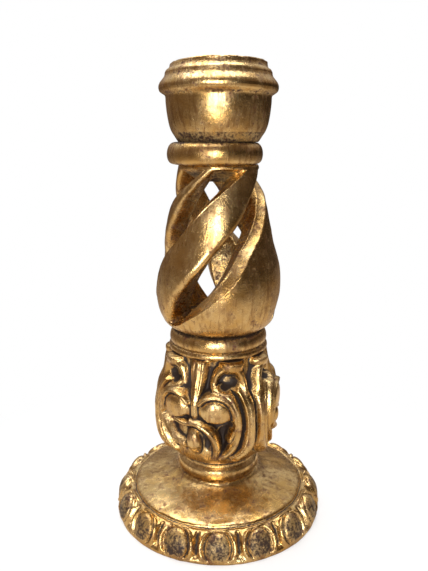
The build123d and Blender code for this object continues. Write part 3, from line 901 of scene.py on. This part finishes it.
def make_twist(finish):
    """Strands repeated round the axis and united with the block at either end."""
    strands = repeated(
        "twist_column_gilded", make_strand(), finish, STRANDS, unevenness=0.9, size=16.0, seed=41.0
    )
    move_points(strands, slots_moved(places_of(strands)))
    inset = 0.1
    low_face = [(radius - inset, height) for radius, height in BARREL if height < 137.4]
    low_shape = outline(
        straight((dowel_bore, column_bottom), low_face[0]),
        low_face,
        smooth([low_face[-1], (33.0, 138.6), (27.0, 140.6), (20.0, 142.0), (dowel_bore, 142.2)], 3),
        straight((dowel_bore, 142.2), (dowel_bore, column_bottom), spacing=8.0),
    )
    high_face = [(radius - inset, height) for radius, height in BARREL if height > 236.4]
    high_shape = outline(
        straight((dowel_bore, 228.6), (13.0, 228.6), (high_face[0][0] - 0.6, 236.2)),
        high_face,
        straight(high_face[-1], (dowel_bore, column_top)),
        straight((dowel_bore, column_top), (dowel_bore, 228.6), spacing=8.0),
    )
    # Painted shade with dark wash on the blocks, more on their inner faces inside the twist
    low_block = turned(
        "low_block", low_shape, finish, 0.0, wash_and_shade=lambda radius, height: 0.15 + 0.4 * (radius < 28)
    )
    high_block = turned(
        "high_block", high_shape, finish, 0.0, wash_and_shade=lambda radius, height: 0.2 + 0.4 * (radius < 24)
    )
    piece = joined(strands, low_block, high_block)
    return kept(piece, "twist_column")


# Finishes

DEEP_GOLD = (0.61, 0.375, 0.125)
PALE_GOLD = (0.82, 0.61, 0.30)
RUBBED_GOLD = (0.31, 0.155, 0.058)
CLAY = (0.115, 0.036, 0.020)
DARK_WASH_AND_SHADE = (0.026, 0.014, 0.009)


def gilding(name, shift, wash_and_shade_share=1.0, wear=0.5, streaks=0.5, grain=1.0):
    """Burnished leaf over dark red clay, rubbed through in places, with a dark wash and painted shade in the
    hollows.
    """
    finish = Finish(name)
    broad = finish.noise(26, shift=shift, detail=2.0)
    drift = finish.noise(7, shift=shift + 3, detail=4.0, roughness=0.6)
    strokes = finish.noise(2.4, stretch=(1, 1, 7), shift=shift + 5, detail=4.0, roughness=0.62, warp=0.4)
    fine = finish.noise(0.9, shift=shift + 7, detail=4.0, roughness=0.7)
    flecks = finish.noise(1.6, shift=shift + 9, detail=5.0, roughness=0.75)
    tint = (broad * 0.55 + drift * 0.45).rise(0.36, 0.64)
    leaf = finish.blend(tint, DEEP_GOLD, PALE_GOLD)
    rubbed = (strokes * streaks + drift * (1 - streaks)).rise(0.45, 0.63) * 0.8
    leaf = finish.blend(rubbed, leaf, RUBBED_GOLD)
    bare = (drift * 0.45 + flecks * 0.55 + finish.wash_and_shade * 0.12).rise(0.60 - 0.08 * wear, 0.67 - 0.08 * wear)
    leaf = finish.blend(bare * 0.9, leaf, CLAY)
    # Painted shade with dark wash: near-black patches where the points' wash-and-shade value is high, in
    # hollows and where parts meet
    wash_and_shade_patches = (finish.wash_and_shade * 1.1 + flecks * 1.1 + drift * 0.5).rise(1.12, 1.62) * wash_and_shade_share
    colour = finish.blend(wash_and_shade_patches, leaf, DARK_WASH_AND_SHADE)
    cover = (bare * 0.8).most(wash_and_shade_patches)
    sheen = 0.17 + drift * 0.16 + rubbed * 0.08 + cover * 0.30
    relief = (
        drift * 0.30 + strokes * 0.08 + fine * 0.07 * grain + flecks * 0.12 * grain
        - bare * 0.06 + finish.wash_and_shade * flecks * 0.5
    )
    return finish.surface(
        Base_Color=colour, Metallic=1 - cover * 0.9, Roughness=sheen, Normal=finish.relief(relief)
    )


def spun_brass():
    """Spun brass, darkened a little, with the lines of the lathe."""
    finish = Finish("spun_brass")
    lines = finish.noise(0.5, stretch=(30, 30, 1), shift=2)
    cloud = finish.noise(5, shift=4)
    stain = finish.noise(2.2, shift=6, detail=5.0).rise(0.52, 0.7)
    colour = finish.blend(cloud.rise(0.35, 0.65), (0.66, 0.45, 0.17), (0.50, 0.33, 0.13))
    colour = finish.blend(stain * 0.7, colour, (0.16, 0.085, 0.035))
    relief = finish.relief(lines * 0.02 + cloud * 0.03)
    sheen = 0.28 + stain * 0.2 + lines * 0.1
    return finish.surface(Base_Color=colour, Metallic=0.95, Roughness=sheen, Normal=relief)


def bare_beech():
    """Bare beech with its grain upright and small dark flecks."""
    finish = Finish("bare_beech")
    grain = finish.noise(0.8, stretch=(1, 1, 18), shift=1, detail=4.0)
    ray = finish.noise(0.7, stretch=(1, 1, 3), shift=3).rise(0.6, 0.7)
    colour = finish.blend(grain.rise(0.35, 0.65), (0.62, 0.43, 0.25), (0.74, 0.56, 0.36))
    colour = finish.blend(ray * 0.5, colour, (0.38, 0.22, 0.11))
    return finish.surface(Base_Color=colour, Roughness=0.62 + grain * 0.1, Normal=finish.relief(grain * 0.04))


def plated_steel():
    """Zinc-plated steel with a dull crystal pattern."""
    finish = Finish("plated_steel")
    cell = finish.dots(2.4, shift=2)
    cloud = finish.noise(1.1, shift=5)
    colour = finish.blend(cell.rise(0.2, 0.8), (0.56, 0.56, 0.57), (0.44, 0.45, 0.47))
    return finish.surface(
        Base_Color=colour, Metallic=0.9, Roughness=0.32 + cloud * 0.2, Normal=finish.relief(cloud * 0.02)
    )


def green_felt():
    """Pressed felt: matted fibres in two greens."""
    finish = Finish("green_felt")
    fibres = finish.noise(0.6, stretch=(4, 1, 1), shift=1, detail=5.0, warp=2.0)
    crossed = finish.noise(0.6, stretch=(1, 4, 1), shift=4, detail=5.0, warp=2.0)
    mat = fibres * 0.5 + crossed * 0.5
    colour = finish.blend(mat.rise(0.35, 0.65), (0.055, 0.10, 0.052), (0.12, 0.19, 0.105))
    return finish.surface(
        Base_Color=colour, Roughness=0.93, Sheen_Weight=0.35, Normal=finish.relief(mat * 0.35)
    )


# Studio: a floor and surround that are white to the camera and dim and warm to the metal, and two lamps; the
# floor's dim colour is painted shade

WARM_ROOM = (1.0, 0.70, 0.52)
NEAR_TABLE_SHADED = (0.62, 0.55, 0.46)
FAR_TABLE_SHADED = (0.26, 0.21, 0.165)
SEEN_TABLE = (0.93, 0.93, 0.93)


def world():
    """White to the camera; to the metal, a pale surround behind and above a dim room."""
    surround = bpy.data.worlds.new("surround")
    surround.use_nodes = True
    surround.node_tree.nodes.clear()
    bench = Bench(surround.node_tree)
    direction = bench.add("ShaderNodeTexCoord", out="Generated")
    separate = bench.add("ShaderNodeSeparateXYZ", None, {"Vector": direction}).socket.node
    right, back, up = (Wire(bench, socket) for socket in separate.outputs)
    behind = back.rise(-0.2, 0.7)
    room = 0.035 + (right * -1).rise(-0.6, 0.7) * 0.15
    sky = up.rise(0.10, 0.60) * (0.10 + behind * 0.56)
    level = room + sky
    path = bench.add("ShaderNodeLightPath", out="Is Camera Ray")
    level = level * (1 - path) + path
    tint = bench.blend(level.rise(0.12, 0.75), WARM_ROOM, (1.0, 1.0, 1.0))
    shade = bench.add("ShaderNodeBackground", None, {"Color": tint, "Strength": level})
    bench.add("ShaderNodeOutputWorld", None, {"Surface": shade})
    bpy.context.scene.world = surround


def lamp(name, place, aim, width, height, power):
    """A soft rectangular lamp that faces its aim; places are in metres."""
    light = bpy.data.lights.new(name, "AREA")
    light.shape = "RECTANGLE"
    light.size = width
    light.size_y = height
    light.energy = power
    item = bpy.data.objects.new(name, light)
    bpy.context.scene.collection.objects.link(item)
    item.location = place
    item.rotation_euler = (Vector(aim) - Vector(place)).to_track_quat("-Z", "Y").to_euler()


def make_studio():
    """Floor, lamps and surround."""
    world()
    reach = 4.0
    mesh = bpy.data.meshes.new("floor")
    corners = [(-reach, -reach, 0), (reach, -reach, 0), (reach, reach, 0), (-reach, reach, 0)]
    mesh.from_pydata(corners, [], [(0, 1, 2, 3)])
    floor = bpy.data.objects.new("floor", mesh)
    bpy.context.scene.collection.objects.link(floor)
    finish = Finish("pale_floor")
    seen = finish.add("ShaderNodeLightPath", out="Is Camera Ray")
    away = finish.add("ShaderNodeVectorMath", {"operation": "LENGTH"}, {0: finish.place}, out="Value")
    # Painted shade: the floor that the metal sees is a darker copy of the white one, darker still further
    # away
    shaded_table = finish.blend(away.rise(0.15, 0.55), NEAR_TABLE_SHADED, FAR_TABLE_SHADED)
    matt = finish.add("ShaderNodeBsdfDiffuse", None, {"Color": finish.blend(seen, shaded_table, SEEN_TABLE)})
    glow = finish.add("ShaderNodeEmission", None, {"Color": (1, 1, 1, 1), "Strength": 1.0})
    clear = 0.55 + away.rise(0.06, 0.24) * 0.45
    mixed = finish.add("ShaderNodeMixShader", None, {0: seen * clear, 1: matt, 2: glow})
    finish.add("ShaderNodeOutputMaterial", None, {"Surface": mixed})
    mesh.materials.append(finish.material)
    lamp("window", (-0.11, -1.25, 0.28), (0, 0, 0.2), 0.42, 0.52, 10.5)
    lamp("overhead", (-0.15, 0.12, 1.7), (0, 0, 0.1), 1.5, 1.5, 34.0)


def make_camera():
    """The photograph's view: level with the neck ring, tilted down."""
    distance, height, tilt, turn = 375.2, 249.8, 13.55, 0.437
    picture_height, focal_pixels, sensor = 571.0, 577.0, 36.0
    data = bpy.data.cameras.new("camera")
    data.sensor_width = sensor
    data.lens = focal_pixels / picture_height * sensor
    data.clip_start = 0.02
    camera = bpy.data.objects.new("camera", data)
    bpy.context.scene.collection.objects.link(camera)
    camera.location = (0.0, -distance * MM, height * MM)
    camera.rotation_euler = (math.radians(90 - tilt), 0.0, math.radians(turn))
    bpy.context.scene.camera = camera


ROUND_THE_AXIS = round_the_axis()

make_camera()
make_candle_cup(gilding("gilded_cup", shift=1.0, wear=0.6, streaks=0.7))
make_neck_ring(gilding("gilded_neck_ring", shift=12.0, wear=0.6))
make_twist(gilding("gilded_twist", shift=23.0, wear=0.5))
make_knop_collar(gilding("gilded_collar", shift=34.0, wear=0.6))
make_knop(gilding("gilded_knop", shift=45.0, wear=0.6))
make_foot_ring(gilding("gilded_foot_ring", shift=56.0, wear=0.4))
make_foot(gilding("gilded_foot", shift=67.0, wear=0.6))

CARRIED_OVER = {
    spun_brass: ("cup_liner", "liner_screw"),
    bare_beech: ("lower_dowel", "upper_dowel"),
    plated_steel: ("stem_washer", "stem_screw"),
    green_felt: ("foot_felt",),
}
for recipe, nodes in CARRIED_OVER.items():
    material = recipe()
    for node in nodes:
        slots = frame["nodes"][node].data.materials
        slots.clear()
        slots.append(material)

make_studio()
bpy.context.scene.view_settings.view_transform = "Standard"
